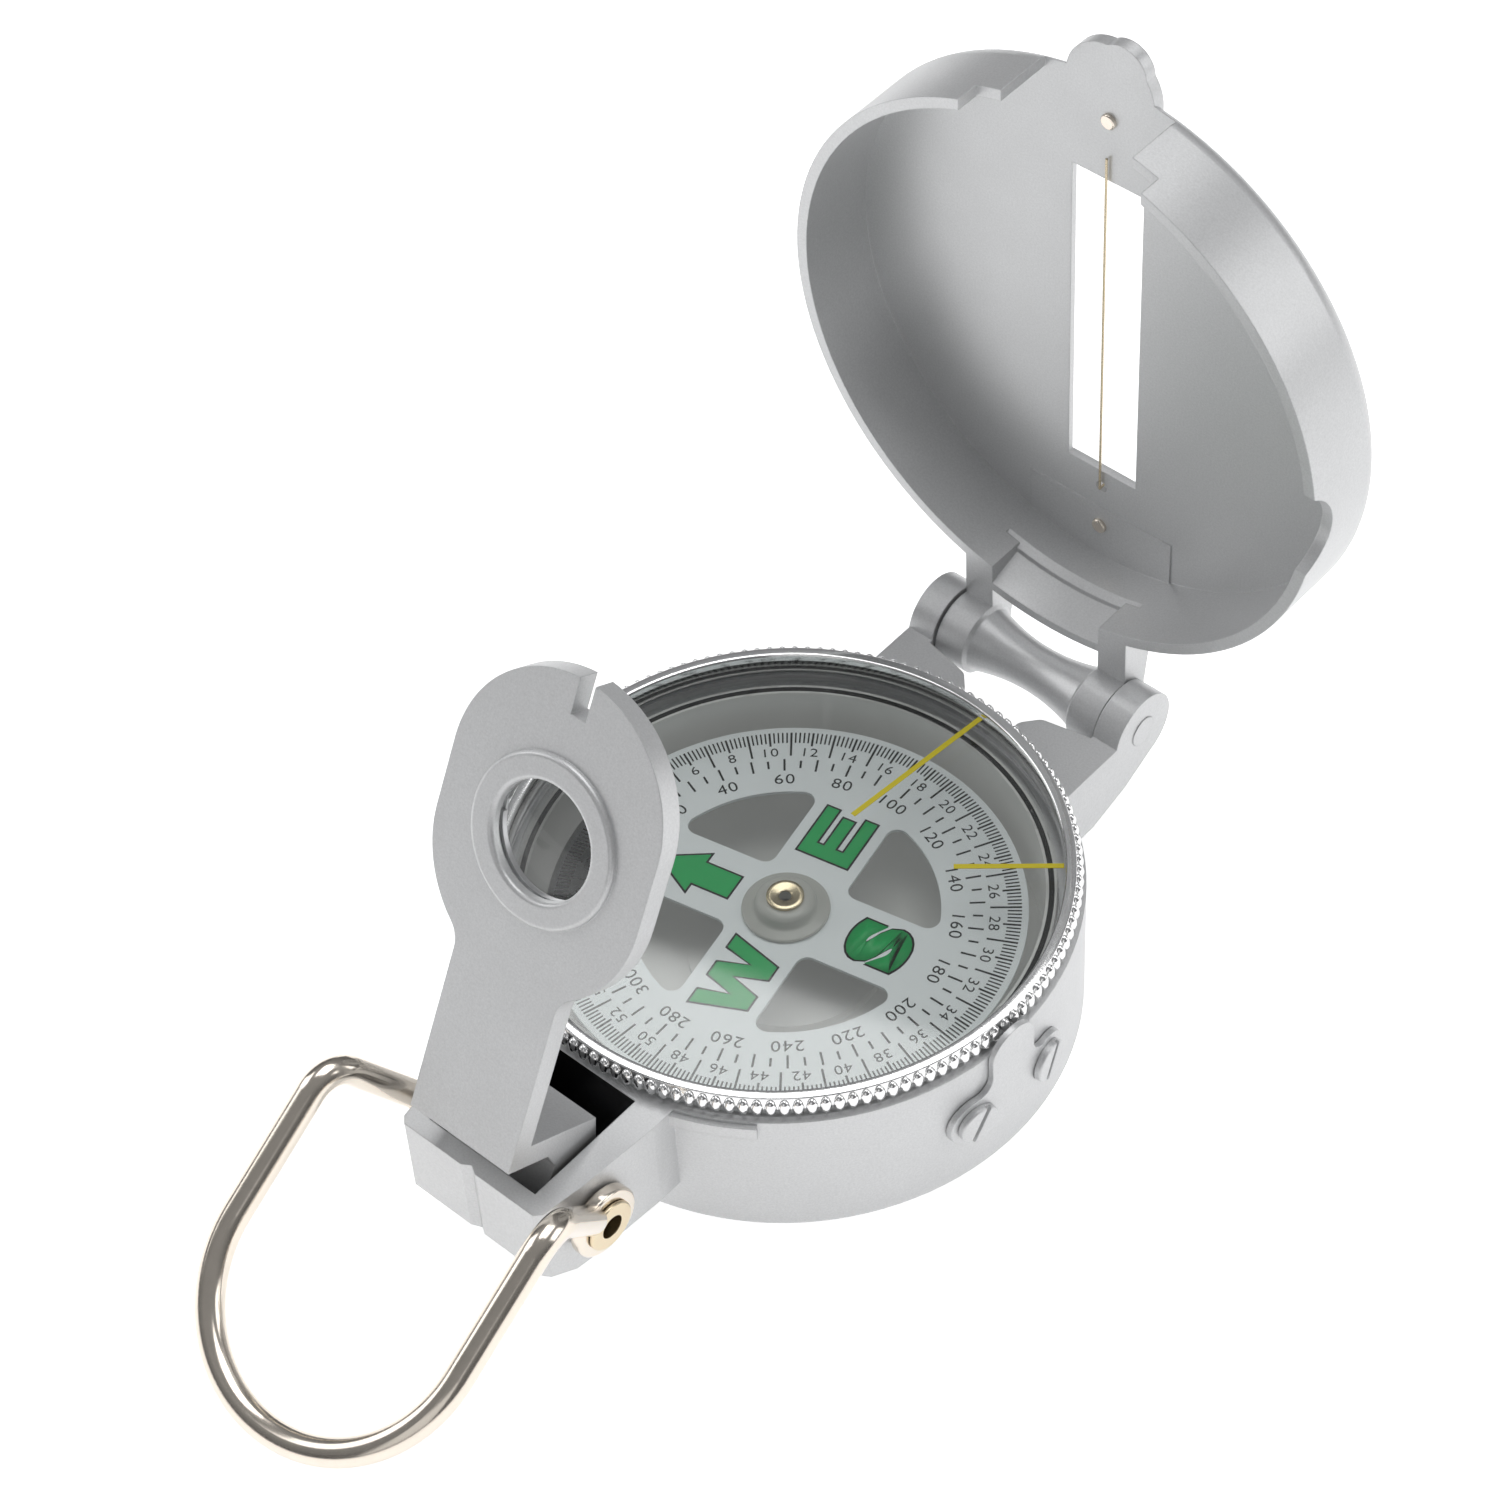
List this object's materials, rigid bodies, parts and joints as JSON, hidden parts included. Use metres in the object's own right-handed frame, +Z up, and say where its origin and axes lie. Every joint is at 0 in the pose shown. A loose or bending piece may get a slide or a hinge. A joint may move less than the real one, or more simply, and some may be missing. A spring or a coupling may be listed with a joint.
{
  "type": "sighting compass",
  "caption": "Folding sighting compass: round cast case, knurled bezel, liquid capsule with floating dial, hinged slotted cover, folding magnifier bracket and wire thumb loop.",
  "frame": {"origin": "centre of the base's flat underside, on the dial axis", "axes": "+Z up along the dial axis; +Y towards the cover hinge, the sighting direction; +X towards the clip plate on the right"},
  "size_m": [0.0566, 0.1125, 0.0795],
  "materials": {
    "silver_paint": "fine satin silver paint",
    "chrome": "bright chrome plate",
    "nickel": "bright nickel plate",
    "steel": "plain steel",
    "brass": "plain brass",
    "clear_plastic": "clear moulded plastic",
    "clear_glass": "clear glass",
    "luminous_paint": "yellow-green luminous paint",
    "dial_paint": "light grey card, black scales, green letters",
    "white_card": "white",
    "seal_rubber": "black rubber"
  },
  "bodies": {
    "base": {"base_casting": "silver_paint", "reflector_disc": "white_card", "capsule_bowl": "clear_plastic", "capsule_seal": "seal_rubber", "capsule_lid": "clear_plastic", "pivot_post": "steel", "clip_plate": "silver_paint", "clip_screws": "silver_paint", "hinge_pin": "silver_paint", "bracket_rivet": "brass", "detent_spring": "steel", "bezel_retaining_ring": "steel"},
    "bezel": {"bezel_ring": "chrome", "bezel_glass": "clear_glass", "luminous_lines": "luminous_paint"},
    "dial": {"dial_card": "dial_paint", "dial_hub": "clear_plastic", "dial_cap": "brass", "dial_magnet": "steel"},
    "cover": {"cover_casting": "silver_paint", "sighting_wire": "brass", "sight_rivets": "nickel"},
    "eye_bracket": {"eye_bracket": "silver_paint", "magnifier_lens": "clear_glass", "lens_snap_ring": "steel"},
    "thumb_loop": {"thumb_loop": "nickel"}
  },
  "joints": [
    {"name": "cover_hinge", "type": "hinge", "parent": "base", "child": "cover", "pos_m": [0, 0.0355, 0.012], "axis": [1, 0, 0], "range_deg": [-90, 90]},
    {"name": "bracket_hinge", "type": "hinge", "parent": "base", "child": "eye_bracket", "pos_m": [0, -0.0344, 0.01], "axis": [1, 0, 0], "range_deg": [-62.5, 20]},
    {"name": "loop_hinge", "type": "hinge", "parent": "base", "child": "thumb_loop", "pos_m": [0, -0.0344, 0.01], "axis": [1, 0, 0], "range_deg": [-45, 145]},
    {"name": "bezel_turn", "type": "hinge", "parent": "base", "child": "bezel", "pos_m": [0, 0, 0.016], "axis": [0, 0, 1], "continuous": true},
    {"name": "dial_turn", "type": "hinge", "parent": "base", "child": "dial", "pos_m": [0, 0, 0.0109], "axis": [0, 0, 1], "continuous": true}
  ]
}
